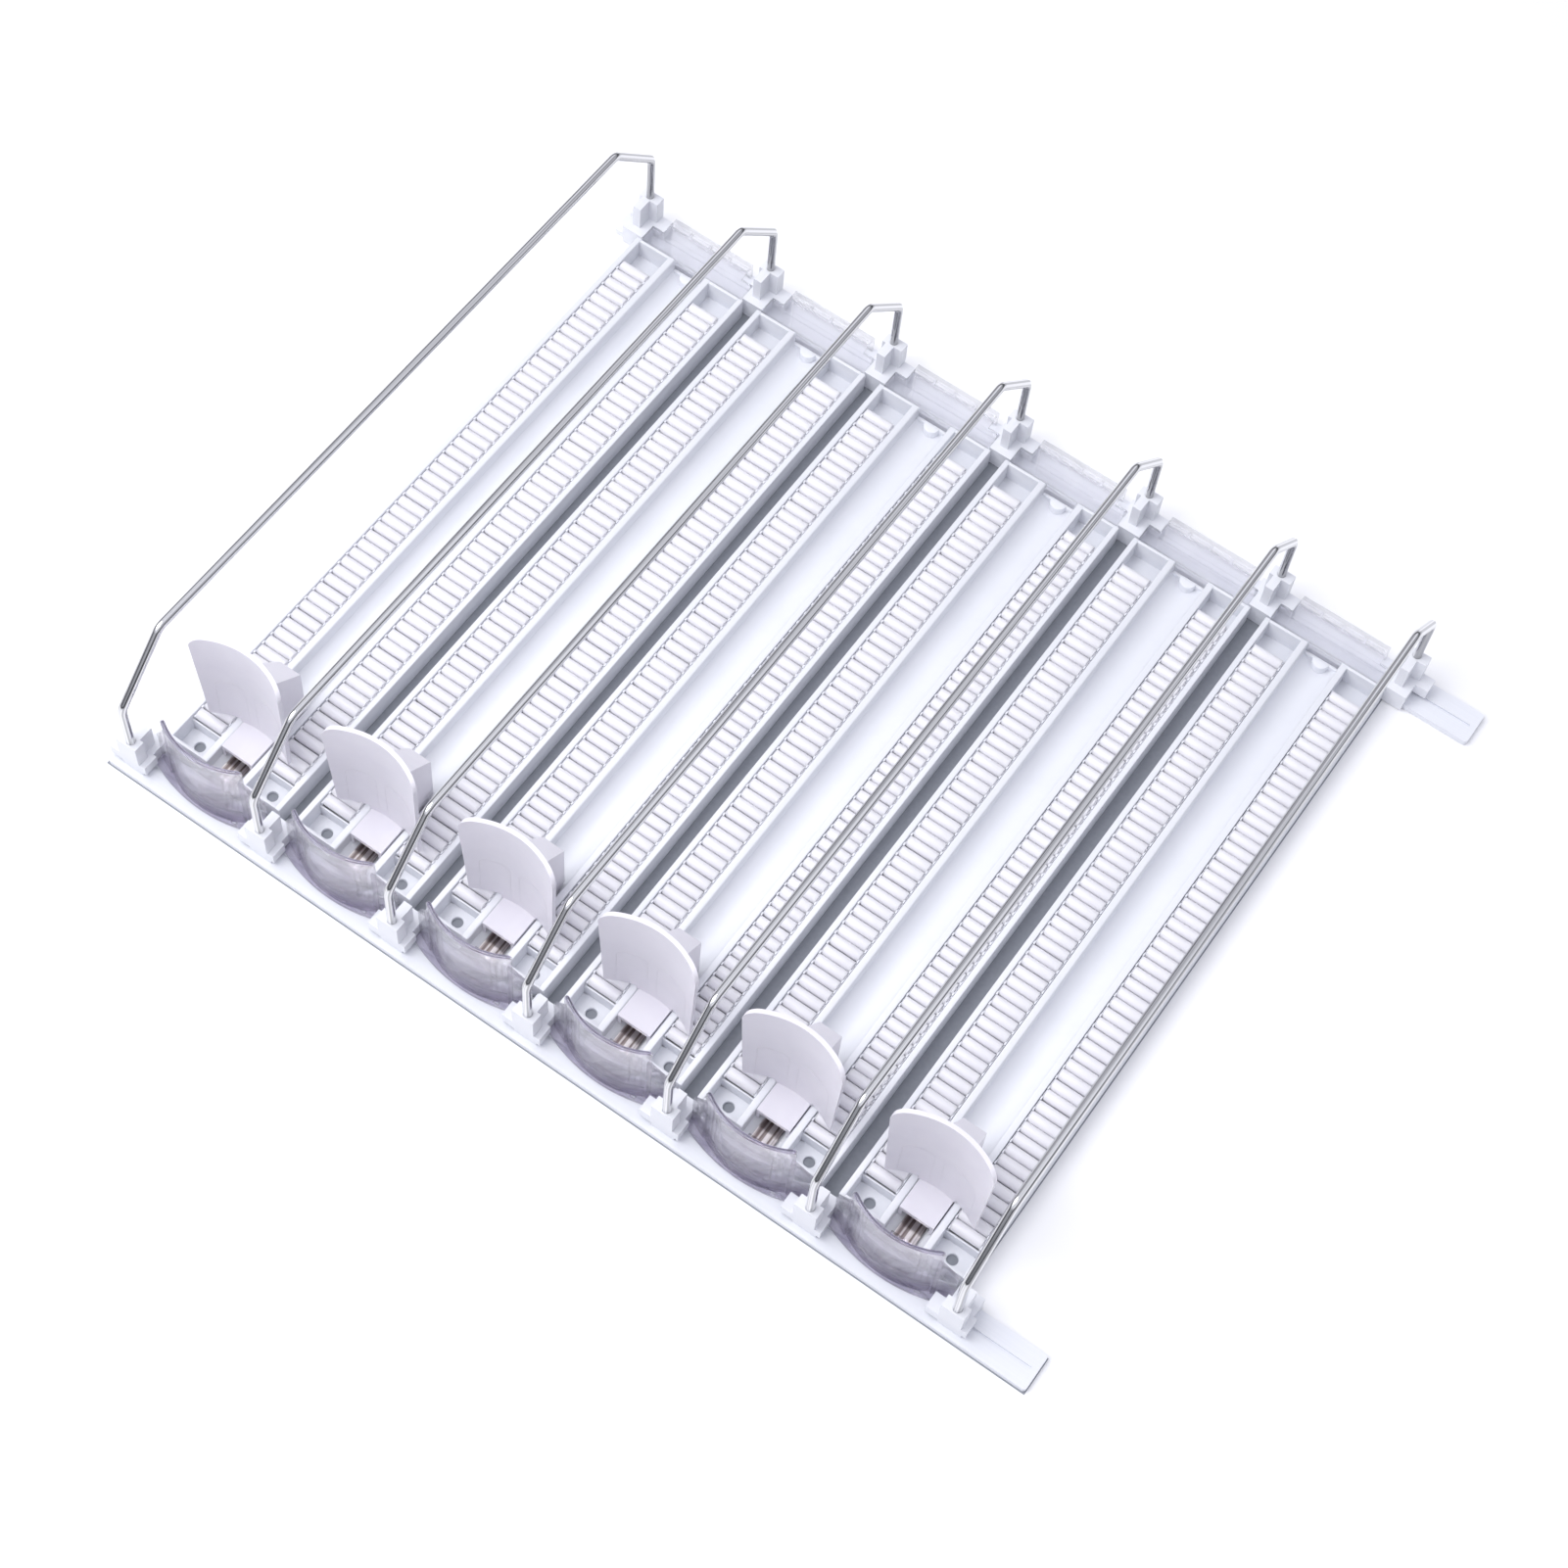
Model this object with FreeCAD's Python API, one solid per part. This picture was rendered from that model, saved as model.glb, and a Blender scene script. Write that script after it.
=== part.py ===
import FreeCAD, Part
import math
import os

os.makedirs("parts", exist_ok=True)

V = FreeCAD.Vector

# Layout: X runs along the rails, Y from the front rail to the rear rail, Z up.
# The origin is at the middle of the underside. All sizes are in millimetres.
lane_count = 6
lane_pitch = 70.0
first_wire_inset = 12.0
free_rail = 38.0
tray_length = 339.0
rail_width = 17.5
rail_to_tray = 3.5
slide_gap = 0.3

rail_length = first_wire_inset + lane_count * lane_pitch + free_rail
depth = tray_length + 2 * (rail_width + rail_to_tray)
left_edge = -rail_length / 2
front_edge = -depth / 2

# Rails: flat strips with one guide groove
rail_thick = 3.0
rail_corner = 1.5
groove_y = 9.0
groove_width = 1.2
groove_depth = 0.9
groove_end = 3.0

# Trays: two roller strips with a channel between them
tray_gap = 8.0
tray_height = 12.0
tray_floor = 1.6
outer_wall = 2.7
inner_wall = 3.3
channel_half = 8.6
channel_low = 2.0
channel_rise = 3.0
tray_half = (lane_pitch - tray_gap) / 2

# Rollers, which snap into toothed ledges on both sides of a strip
roller_radius = 2.7
roller_pitch = 5.75
roller_rise = 0.5
roller_web = 2.0
ledge_width = 0.95
tooth_width = 1.6
tooth_drop = 0.3
tooth_depth = 1.1
pocket_length = 13.5
pocket_hole = 2.5
pocket_hole_inset = 7.5

# End walls of the strips, and the tab at the rear of the channel
end_wall = 1.5
channel_end_height = 5.5
tab_radius = 4.0
tab_top = 6.5

# Wire dividers
wire_radius = 2.0
wire_inset = 5.3
wire_bend_z = 50.5
wire_top_z = 79.0
wire_bend_radius = 6.0

# Seats that hold the wires on the rails
seat_core_half = 5.7
seat_front = 3.0
seat_base_top = 11.0
seat_flange_left = 12.0
seat_flange_right = 7.5
seat_flange_back = 10.5
socket_left = 6.0
socket_right = 4.7
socket_front = 2.5
socket_back = 8.0
socket_top = 24.0
socket_floor = 12.0
socket_clearance = 0.05
rib_left = 1.5
rib_right = 2.7
rib_back = 15.3
hook_thick = 1.5
key_clearance = 0.2

# Clear front stops
stop_thick = 2.0
stop_base = 2.0
stop_half = 22.0
stop_front = 5.6
stop_end = 12.5
stop_top = 47.0
stop_corner = 3.0
stop_base_front = 4.6
stop_base_side = 10.8
wing_back = 16.5
wing_root_z = 40.0
wing_tip_z = 24.0
sill_top = 12.0
sill_thick = 3.5
bridge_half = 11.5
lug_half = 6.0
lug_top = 6.0
lug_length = 2.0
slot_y = 7.6
slot_width = 1.4
slot_long = 6.5
slot_short = 2.5
slot_start = 7.0

# Clear rear connectors
cover_top = 12.0
cover_thick = 2.0
cover_skirt = 1.6
cover_inset = 0.8
rear_slot_count = 4
rear_slot_length = 10.2
rear_slot_width = 2.5
rear_slot_inset = 3.0

# Pushers, bowed a little wider than a standing can
bow_radius = 37.5
paddle_half_low = 21.6
paddle_half_top = 24.0
paddle_thick = 2.0
paddle_mid_y = 45.8
paddle_low = 15.5
paddle_top = 76.0
paddle_corner = 5.0
foot_clearance = 0.4
foot_front = 30.5
foot_thick = 2.5
roller_clearance = 0.5
runner_low = 5.6
runner_wall = 1.6
housing_half = 9.0
housing_rear_half = 5.5
housing_rear = 69.0
housing_rear_z = 34.0
housing_top = 57.0
housing_wall = 1.2

# Spring strips, one coil in each pusher
strip_half = 5.0
strip_thick = 0.3
strip_z = 3.6
coil_radius = 4.8
coil_turns = 1.6
coil_clearance = 0.3


def block(x0, x1, y0, y1, z0, z1):
    return Part.makeBox(x1 - x0, y1 - y0, z1 - z0, V(x0, y0, z0))


def closed_face(edges):
    return Part.Face(Part.Wire(edges))


def polygon_edges(points):
    turns = points[1:] + points[:1]
    return [Part.makeLine(a, b) for a, b in zip(points, turns)]


def prism_x(yz, x0, x1):
    points = [V(x0, y, z) for y, z in yz]
    return closed_face(polygon_edges(points)).extrude(V(x1 - x0, 0, 0))


def prism_y(xz, y0, y1):
    points = [V(x, y0, z) for x, z in xz]
    return closed_face(polygon_edges(points)).extrude(V(0, y1 - y0, 0))


def prism_z(xy, z0, z1):
    points = [V(x, y, z0) for x, y in xy]
    return closed_face(polygon_edges(points)).extrude(V(0, 0, z1 - z0))


def mirrored(shape):
    return shape.mirror(V(0, 0, 0), V(1, 0, 0))


def both_sides(shape):
    return [shape, mirrored(shape)]


def fuse(shapes):
    return shapes[0].multiFuse(shapes[1:]).removeSplitter()


def rounded_panel(half_low, half_top, low, top, corner, y0, y1):
    """A panel in the XZ plane with rounded upper corners, extruded along Y."""
    panel = prism_y([(-half_low, low), (-half_top, top), (half_top, top), (half_low, low)], y0, y1)
    tips = [e for e in panel.Edges
            if abs(e.Vertexes[0].Z - top) < 0.01 and abs(e.Vertexes[-1].Z - top) < 0.01
            and abs(e.Vertexes[0].X - e.Vertexes[-1].X) < 0.01]
    return panel.makeFillet(corner, tips)


def arc_radius(half_chord, rise):
    return (half_chord ** 2 + rise ** 2) / (2 * rise)


def turned_to_rear(shape):
    """Swing a piece of the front rail half a turn, so that it fits the rear rail."""
    turned = shape.copy()
    turned.rotate(V(0, 0, 0), V(0, 0, 1), 180)
    turned.translate(V(0, depth, 0))
    return turned


# Rails


def rail():
    body = block(0, rail_length, 0, rail_width, 0, rail_thick)
    uprights = [e for e in body.Edges if abs(e.Vertexes[0].Z - e.Vertexes[-1].Z) > rail_thick / 2]
    body = body.makeFillet(rail_corner, uprights)
    groove = block(groove_end, rail_length - groove_end,
                   groove_y - groove_width / 2, groove_y + groove_width / 2,
                   rail_thick - groove_depth, rail_thick + 1)
    return body.cut(groove)


# Trays, drawn with their front end at Y = tray_start


tray_start = rail_width + rail_to_tray
tray_end = tray_start + tray_length
strip_inner = channel_half + inner_wall
strip_outer = tray_half - outer_wall
roller_inner = strip_inner + ledge_width
roller_outer = strip_outer - ledge_width
strip_middle = (strip_inner + strip_outer) / 2
roller_axis = tray_height + roller_rise - roller_radius
bed_start = tray_start + pocket_length
bed_length = tray_length - 2 * pocket_length
roller_count = int(bed_length // roller_pitch)
first_roller = bed_start + (bed_length - roller_count * roller_pitch) / 2 + roller_pitch / 2


def roller_profile():
    """Rollers side by side, seen along their axes, with a thin web under them."""
    web = roller_axis - roller_web
    first = first_roller - roller_pitch / 2
    last = first + roller_count * roller_pitch
    edges = [
        Part.makeLine(V(0, last, roller_axis), V(0, last, web)),
        Part.makeLine(V(0, last, web), V(0, first, web)),
        Part.makeLine(V(0, first, web), V(0, first, roller_axis)),
    ]
    here = first
    for number in range(roller_count):
        axis_y = first_roller + number * roller_pitch
        start = V(0, axis_y - roller_radius, roller_axis)
        crown = V(0, axis_y, roller_axis + roller_radius)
        end = V(0, axis_y + roller_radius, roller_axis)
        edges.append(Part.makeLine(V(0, here, roller_axis), start))
        edges.append(Part.Arc(start, crown, end).toShape())
        here = end.y
    edges.append(Part.makeLine(V(0, here, roller_axis), V(0, last, roller_axis)))
    return edges


def roller_bar():
    face = closed_face(roller_profile())
    face.translate(V(roller_inner, 0, 0))
    return face.extrude(V(roller_outer - roller_inner, 0, 0))


def ledge(x0, x1):
    """A toothed ledge: the rollers' pins drop in between its teeth."""
    top = tray_height - tooth_drop
    low = top - tooth_depth
    foot = roller_axis - roller_web
    first = first_roller - roller_pitch / 2
    points = [(first, foot), (first, low)]
    for number in range(roller_count - 1):
        between = first + (number + 1) * roller_pitch
        points += [(between - tooth_width / 2, low), (between - tooth_width / 2, top),
                   (between + tooth_width / 2, top), (between + tooth_width / 2, low)]
    last = first + roller_count * roller_pitch
    points += [(last, low), (last, foot)]
    return prism_x(points, x0, x1)


def channel_floor():
    edge = channel_low + channel_rise
    start = V(-channel_half, tray_start, edge)
    middle = V(0, tray_start, channel_low)
    end = V(channel_half, tray_start, edge)
    edges = [
        Part.Arc(start, middle, end).toShape(),
        Part.makeLine(end, V(channel_half, tray_start, 0)),
        Part.makeLine(V(channel_half, tray_start, 0), V(-channel_half, tray_start, 0)),
        Part.makeLine(V(-channel_half, tray_start, 0), start),
    ]
    return closed_face(edges).extrude(V(0, tray_length, 0))


def strip_trough():
    """One side of a tray: its floor, its walls, and the rollers between two toothed ledges."""
    pieces = [
        block(channel_half, tray_half, tray_start, tray_end, 0, tray_floor),
        block(channel_half, strip_inner, tray_start, tray_end, 0, tray_height),
        block(strip_outer, tray_half, tray_start, tray_end, 0, tray_height),
        block(strip_inner, strip_outer, tray_start, tray_start + end_wall, 0, tray_height),
        block(strip_inner, strip_outer, tray_end - end_wall, tray_end, 0, tray_height),
        ledge(strip_inner, roller_inner),
        ledge(roller_outer, strip_outer),
        roller_bar(),
    ]
    return pieces


def pocket_drill(y):
    return Part.makeCylinder(pocket_hole, tray_height, V(strip_middle, y, -1))


def end_tab():
    """A half-round tab on the end wall of the channel."""
    disc = Part.makeCylinder(tab_radius, tab_top, V(0, tray_end - end_wall, 0))
    return disc.common(block(-tab_radius, tab_radius, tray_end - 2 * tab_radius, tray_end, 0, tab_top))


def tray():
    sides = []
    for piece in strip_trough():
        sides += both_sides(piece)
    end = block(-channel_half, channel_half, tray_end - end_wall, tray_end, 0, channel_end_height)
    body = fuse(sides + [channel_floor(), end, end_tab()])
    drills = both_sides(pocket_drill(tray_start + pocket_hole_inset))
    return body.cut(Part.makeCompound(drills))


# Wire dividers, drawn in the plane X = 0


def bent_path(points, radius):
    """Straight runs joined by tangent arcs of one radius."""
    edges = []
    here = points[0]
    for before, corner, after in zip(points, points[1:], points[2:]):
        into = (corner - before).normalize()
        out = (after - corner).normalize()
        half_turn = into.getAngle(out) / 2
        reach = radius * math.tan(half_turn)
        start = corner - into * reach
        end = corner + out * reach
        inward = (out - into).normalize()
        sag = radius / math.cos(half_turn) - radius
        edges.append(Part.makeLine(here, start))
        edges.append(Part.Arc(start, corner + inward * sag, end).toShape())
        here = end
    edges.append(Part.makeLine(here, points[-1]))
    return Part.Wire(edges)


def wire():
    slant = wire_top_z - wire_bend_z
    rear = depth - wire_inset
    points = [
        V(0, wire_inset, socket_floor),
        V(0, wire_inset, wire_bend_z),
        V(0, wire_inset + slant, wire_top_z),
        V(0, rear - slant, wire_top_z),
        V(0, rear, wire_bend_z),
        V(0, rear, socket_floor),
    ]
    circle = Part.Wire(Part.makeCircle(wire_radius, points[0], V(0, 0, 1)))
    return bent_path(points, wire_bend_radius).makePipeShell([circle], True, False)


# Seats, drawn at the front rail with the wire at X = 0


def seat():
    flange_low = rail_thick + stop_base + slide_gap
    key_half = groove_width / 2 - key_clearance
    hook_front = rail_width + slide_gap
    pieces = [
        block(-seat_core_half, seat_core_half, seat_front, hook_front + hook_thick,
              rail_thick, seat_base_top),
        block(-seat_flange_left, seat_flange_right, seat_front, seat_flange_back,
              flange_low, seat_base_top),
        block(-seat_core_half, seat_core_half, hook_front, hook_front + hook_thick,
              slide_gap, seat_base_top),
        block(-seat_core_half, seat_core_half, groove_y - key_half, groove_y + key_half,
              rail_thick - groove_depth + slide_gap, seat_base_top),
        block(-socket_left, socket_right, socket_front, socket_back, seat_base_top, socket_top),
        block(-rib_left, rib_right, socket_back, rib_back, seat_base_top, socket_top),
    ]
    socket = Part.makeCylinder(wire_radius + socket_clearance, socket_top, V(0, wire_inset, socket_floor))
    return fuse(pieces).cut(socket)


# Front stops, drawn with the lane's middle at X = 0


stop_reach = lane_pitch / 2 - seat_core_half - slide_gap


def bowed_shell(thick, top):
    radius = arc_radius(stop_half, stop_end - stop_front)
    centre = V(0, stop_front + radius, rail_thick)
    height = top - rail_thick
    outer = Part.makeCylinder(radius, height, centre)
    inner = Part.makeCylinder(radius - thick, height, centre)
    return outer.cut(inner)


def bowed_wall():
    """The curved wall that the first can leans on, with a thicker sill at its foot."""
    back = stop_end + stop_thick
    panel = rounded_panel(stop_half, stop_half, rail_thick, stop_top, stop_corner, 0, back)
    sill_half = stop_half - stop_thick
    sill_space = block(-sill_half, sill_half, 0, stop_end, rail_thick, sill_top)
    wall = bowed_shell(stop_thick, stop_top).common(panel)
    return wall.fuse(bowed_shell(sill_thick, sill_top).common(sill_space))


def bowed_base():
    """The foot of a stop: a plate with a bowed front edge, under both flanges of the seats."""
    back = rail_width
    start = V(-stop_reach, stop_base_side, rail_thick)
    middle = V(0, stop_base_front, rail_thick)
    end = V(stop_reach, stop_base_side, rail_thick)
    edges = [
        Part.Arc(start, middle, end).toShape(),
        Part.makeLine(end, V(stop_reach, back, rail_thick)),
        Part.makeLine(V(stop_reach, back, rail_thick), V(-stop_reach, back, rail_thick)),
        Part.makeLine(V(-stop_reach, back, rail_thick), start),
    ]
    return closed_face(edges).extrude(V(0, 0, stop_base))


def wing():
    """A side panel from the end of the bowed wall back to the seat, with a sloping top."""
    plan = [(stop_half - stop_thick, stop_end - stop_thick), (stop_half, stop_end - stop_thick),
            (stop_reach, wing_back - stop_thick), (stop_reach, wing_back),
            (stop_half - stop_thick, stop_end)]
    body = prism_z(plan, rail_thick, wing_root_z)
    inner = stop_half - stop_thick
    slope = prism_y([(inner, rail_thick), (stop_reach, rail_thick), (stop_reach, wing_tip_z),
                     (stop_half, wing_root_z), (inner, wing_root_z)], 0, wing_back + 1)
    return body.common(slope)


def stop_slots():
    top = rail_thick + stop_base + 1
    first = block(slot_start, slot_start + slot_long, slot_y, slot_y + slot_width, rail_thick, top)
    gap_start = slot_start + slot_long + slot_width
    second = block(gap_start, gap_start + slot_short, slot_y, slot_y + slot_width, rail_thick, top)
    return [first, second]


def front_stop():
    pieces = [bowed_wall(), bowed_base()]
    pieces += both_sides(wing())
    pieces.append(block(-bridge_half, bridge_half, rail_width, tray_start, rail_thick,
                        rail_thick + stop_base))
    pieces.append(block(-lug_half, lug_half, rail_width, tray_start, rail_thick, lug_top))
    pieces.append(block(-lug_half, lug_half, tray_start, tray_start + lug_length,
                        strip_z + strip_thick, lug_top))
    return fuse(pieces).cut(Part.makeCompound(stop_slots()))


# Rear connectors, drawn at the front rail and then swung to the rear


cover_reach = lane_pitch / 2 - seat_flange_left - slide_gap


def rear_slots():
    step = 2 * cover_reach / rear_slot_count
    slots = []
    for number in range(rear_slot_count):
        middle = -cover_reach + (number + 0.5) * step
        slots.append(block(middle - rear_slot_length / 2, middle + rear_slot_length / 2,
                           rear_slot_inset, rear_slot_inset + rear_slot_width,
                           cover_top - cover_thick - 1, cover_top + 1))
    return slots


def rear_connector():
    """A cover, open below, that joins the end of a tray to its rail, level with the tray's top."""
    low = cover_top - cover_thick
    waist = seat_flange_back + slide_gap
    pieces = [
        block(-stop_reach, stop_reach, waist, tray_start, low, cover_top),
        block(-cover_reach, cover_reach, cover_inset, waist, low, cover_top),
        block(-cover_reach, cover_reach, cover_inset, cover_inset + cover_skirt, rail_thick, cover_top),
        block(-stop_reach, stop_reach, tray_start - cover_skirt, tray_start, rail_thick, cover_top),
    ]
    return fuse(pieces).cut(Part.makeCompound(rear_slots()))


# Pushers, drawn in the place where they rest, at the front of their lane


foot_half = channel_half - foot_clearance
foot_top = tray_height + roller_rise + roller_clearance
coil_y = housing_rear - housing_wall - coil_clearance - coil_radius
coil_z = strip_z + coil_radius
cavity_half = strip_half + coil_clearance


def paddle_bow(radius):
    """The cylinder of a paddle's bow, above the foot."""
    return Part.makeCylinder(radius, paddle_top, V(0, paddle_mid_y - bow_radius, foot_top))


def paddle():
    """A bowed shell. Its wings end above the rollers."""
    panel = rounded_panel(paddle_half_low, paddle_half_top, paddle_low, paddle_top, paddle_corner,
                          0, housing_rear)
    root = block(-housing_half, housing_half, 0, housing_rear, foot_top, paddle_low)
    return paddle_bow(bow_radius + paddle_thick).common(panel.fuse(root))


def housing():
    """The box behind a paddle that holds the coil. Its lower part runs in the channel."""
    start = paddle_mid_y
    back = housing_rear
    plan = prism_z([(-housing_half, start), (housing_half, start), (housing_rear_half, back),
                    (-housing_rear_half, back)], runner_low, housing_top)
    side = prism_x([(start, runner_low), (back, runner_low), (back, housing_rear_z),
                    (start + paddle_thick, housing_top), (start, housing_top)], -housing_half, housing_half)
    below = block(-foot_half, foot_half, start, back, runner_low, foot_top)
    above = block(-housing_half, housing_half, start, back, foot_top, housing_top)
    body = plan.common(side)
    return body.common(below).fuse(body.common(above))


def pusher():
    outer_back = paddle_mid_y + paddle_thick
    side_wall = foot_half - runner_wall
    pieces = [
        paddle(),
        housing(),
        block(-foot_half, foot_half, foot_front, outer_back, foot_top - foot_thick, foot_top),
        block(side_wall, foot_half, foot_front, outer_back, runner_low, foot_top),
        block(-foot_half, -side_wall, foot_front, outer_back, runner_low, foot_top),
    ]
    cavity_front = coil_y - coil_radius - coil_clearance
    cavity = block(-cavity_half, cavity_half, cavity_front, coil_y + coil_radius + coil_clearance,
                   runner_low - 1, coil_z + coil_radius + coil_clearance)
    strip_way = block(-cavity_half, cavity_half, foot_front, cavity_front, runner_low - 1,
                      foot_top - foot_thick)
    return fuse(pieces).cut(paddle_bow(bow_radius)).cut(cavity.fuse(strip_way))


# Spring strips, drawn in the place where they rest


def spring():
    strip = block(-strip_half, strip_half, tray_start, coil_y, strip_z, strip_z + strip_thick)
    axis = V(-strip_half, coil_y, coil_z)
    along = V(1, 0, 0)
    ring = Part.makeCylinder(coil_radius, 2 * strip_half, axis, along).cut(
        Part.makeCylinder(coil_radius - coil_turns, 2 * strip_half, axis, along))
    return fuse([strip, ring])


# The finished pieces, each moved to its place and written out


def place(shape, x):
    placed = shape.copy()
    placed.translate(V(left_edge + x, front_edge, 0))
    return placed


def write(name, shape, x=0.0):
    place(shape, x).exportStep("parts/" + name + ".step")


def write_rails():
    write("front_rail", rail())
    rear = rail()
    rear.translate(V(-rail_length / 2, 0, 0))
    rear = turned_to_rear(rear)
    rear.translate(V(rail_length / 2, 0, 0))
    write("rear_rail", rear)


def write_lanes():
    pieces = {
        "tray": tray(),
        "front_stop": front_stop(),
        "rear_connector": turned_to_rear(rear_connector()),
        "pusher": pusher(),
        "spring": spring(),
    }
    for number in range(lane_count):
        middle = first_wire_inset + (number + 0.5) * lane_pitch
        for name, shape in pieces.items():
            write(name + "_" + str(number + 1), shape, middle)


def write_dividers():
    pieces = {
        "wire": wire(),
        "front_seat": seat(),
        "rear_seat": turned_to_rear(seat()),
    }
    for number in range(lane_count + 1):
        for name, shape in pieces.items():
            write(name + "_" + str(number + 1), shape, first_wire_inset + number * lane_pitch)


write_rails()
write_lanes()
write_dividers()
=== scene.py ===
import math
import random

import bmesh
import bpy
from mathutils import Matrix, Vector


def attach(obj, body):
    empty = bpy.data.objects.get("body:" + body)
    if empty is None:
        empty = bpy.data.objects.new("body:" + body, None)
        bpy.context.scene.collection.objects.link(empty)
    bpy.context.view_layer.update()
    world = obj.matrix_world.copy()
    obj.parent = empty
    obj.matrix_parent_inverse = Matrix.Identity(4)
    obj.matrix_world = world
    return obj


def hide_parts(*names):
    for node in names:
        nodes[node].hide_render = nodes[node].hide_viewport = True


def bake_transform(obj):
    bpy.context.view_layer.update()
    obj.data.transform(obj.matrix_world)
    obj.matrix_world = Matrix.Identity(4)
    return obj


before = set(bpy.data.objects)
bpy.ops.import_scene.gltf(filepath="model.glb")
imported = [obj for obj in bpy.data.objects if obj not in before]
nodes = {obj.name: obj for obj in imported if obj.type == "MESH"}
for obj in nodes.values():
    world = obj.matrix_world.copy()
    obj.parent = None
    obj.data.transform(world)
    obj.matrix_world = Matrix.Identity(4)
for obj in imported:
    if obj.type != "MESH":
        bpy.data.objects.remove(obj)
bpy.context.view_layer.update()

scene = bpy.context.scene

# Sizes are in millimetres, as in the part's source. Y starts at the front edge of the rails.
MM = 0.001
LANES = 6
PITCH = 70.0
FIRST_WIRE = -223.0
DEPTH = 381.0

TRAY_START = 21.0
TRAY_END = 360.0
TRAY_HALF = 31.0
TRAY_TOP = 12.0
FLOOR_TOP = 1.6
END_WALL = 1.5
CHANNEL_HALF = 8.6
CHANNEL_LOW = 2.0
CHANNEL_RISE = 3.0
STRIP_INNER = 11.9
STRIP_OUTER = 28.3
LEDGE = 0.95
POCKET = 13.5
POCKET_HOLE = 2.5
POCKET_HOLE_INSET = 7.5
DAM_TOP = 5.5
TAB_RADIUS = 4.0
TAB_TOP = 6.5

WIRE_RADIUS = 2.0
WIRE_BEND = 6.0
WIRE_INSET = 5.3
WIRE_LOW = 12.0
WIRE_SHOULDER = 50.5
WIRE_TOP = 79.0

STOP_HALF = 22.0
STOP_REACH = 29.0
STOP_FRONT = 5.6
STOP_RADIUS = 38.52
STOP_THICK = 2.0
STOP_TOP = 47.0
STOP_CORNER = 3.0
SILL_THICK = 3.5
SILL_TOP = 12.0
SILL_INSET = 2.2
RIB_TOP = 38.0
PLATE_LOW = 3.03
PLATE_TOP = 5.0
PLATE_FRONT = 4.6
PLATE_CORNER = 10.8
PLATE_REAR = 17.5
SLOTS = [(7.0, 13.5), (14.9, 17.4)]
SLOT_START = 7.6
SLOT_END = 9.0
WING_START = (10.6, 40.0)
WING_TIP = (14.6, 24.0)
WING_THICK = 1.9
NECK_HALF = 11.5
HOOK_HALF = 6.0

PADDLE_RADIUS = 37.5
PADDLE_MID = 45.8
FOOT_TOP = 13.0
WELT_RADIUS = 0.22

STRIP_HALF = 5.0
STRIP_LOW = 3.5
STRIP_THICK = 0.12
STRIP_HOLLOW = 0.8
COIL_TURNS = 5
COIL_PITCH = 0.3
COIL_RADIUS = 4.75
COIL_Y = 62.7
COIL_Z = 8.4

ROLLER_RADIUS = 2.7
ROLLER_PITCH = 5.75
ROLLER_COUNT = 54
ROLLER_SHOW = 0.5
ROLLER_AXIS = TRAY_TOP + ROLLER_SHOW - ROLLER_RADIUS
PIN_RADIUS = 1.25
BED_SPARE = TRAY_END - TRAY_START - 2 * POCKET - ROLLER_COUNT * ROLLER_PITCH
FIRST_ROLLER = TRAY_START + POCKET + BED_SPARE / 2 + ROLLER_PITCH / 2
TOOTH_TOP = TRAY_TOP - 0.3
TOOTH_LOW = TOOTH_TOP - 1.1


def lane_x(number):
    return FIRST_WIRE + (number - 0.5) * PITCH


def wire_x(number):
    return FIRST_WIRE + (number - 1) * PITCH


# Shapes


def arc(centre, radius, start, end, steps):
    """Points on an arc in a plane, from one angle in degrees to another."""
    turns = [math.radians(start + (end - start) * step / steps) for step in range(steps + 1)]
    return [(centre[0] + radius * math.cos(t), centre[1] + radius * math.sin(t)) for t in turns]


def rounded_outline(corners, steps=4):
    """A closed outline from corners (u, v, radius), each rounded with a tangent arc."""
    outline = []
    for number, (u, v, radius) in enumerate(corners):
        here = Vector((u, v))
        back = Vector(corners[number - 1][:2]) - here
        ahead = Vector(corners[(number + 1) % len(corners)][:2]) - here
        if radius <= 0:
            outline.append((u, v))
            continue
        back.normalize()
        ahead.normalize()
        half = back.angle(ahead) / 2
        reach = radius / math.tan(half)
        centre = here + (back + ahead).normalized() * (radius / math.sin(half))
        start = here + back * reach - centre
        turn = start.angle_signed(here + ahead * reach - centre)
        for step in range(steps + 1):
            spoke = start.copy()
            spoke.rotate(Matrix.Rotation(-turn * step / steps, 2))
            outline.append(tuple(centre + spoke))
    return outline


def box_outline(u0, u1, v0, v1, radius=0.3):
    return rounded_outline([(u0, v0, radius), (u1, v0, radius), (u1, v1, radius), (u0, v1, radius)], 3)


def shrunk(outline, by):
    """The outline moved inwards, with its points kept one for one."""
    area = sum(a[0] * b[1] - b[0] * a[1] for a, b in zip(outline, outline[1:] + outline[:1]))
    side = 1 if area > 0 else -1
    moved = []
    for number, point in enumerate(outline):
        here = Vector(point)
        into = (here - Vector(outline[number - 1])).normalized()
        out = (Vector(outline[(number + 1) % len(outline)]) - here).normalized()
        normal = Vector((-into.y - out.y, into.x + out.x)) * side
        normal /= max(0.3, 1 + into.dot(out))
        moved.append(tuple(here + normal * by))
    return moved


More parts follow.
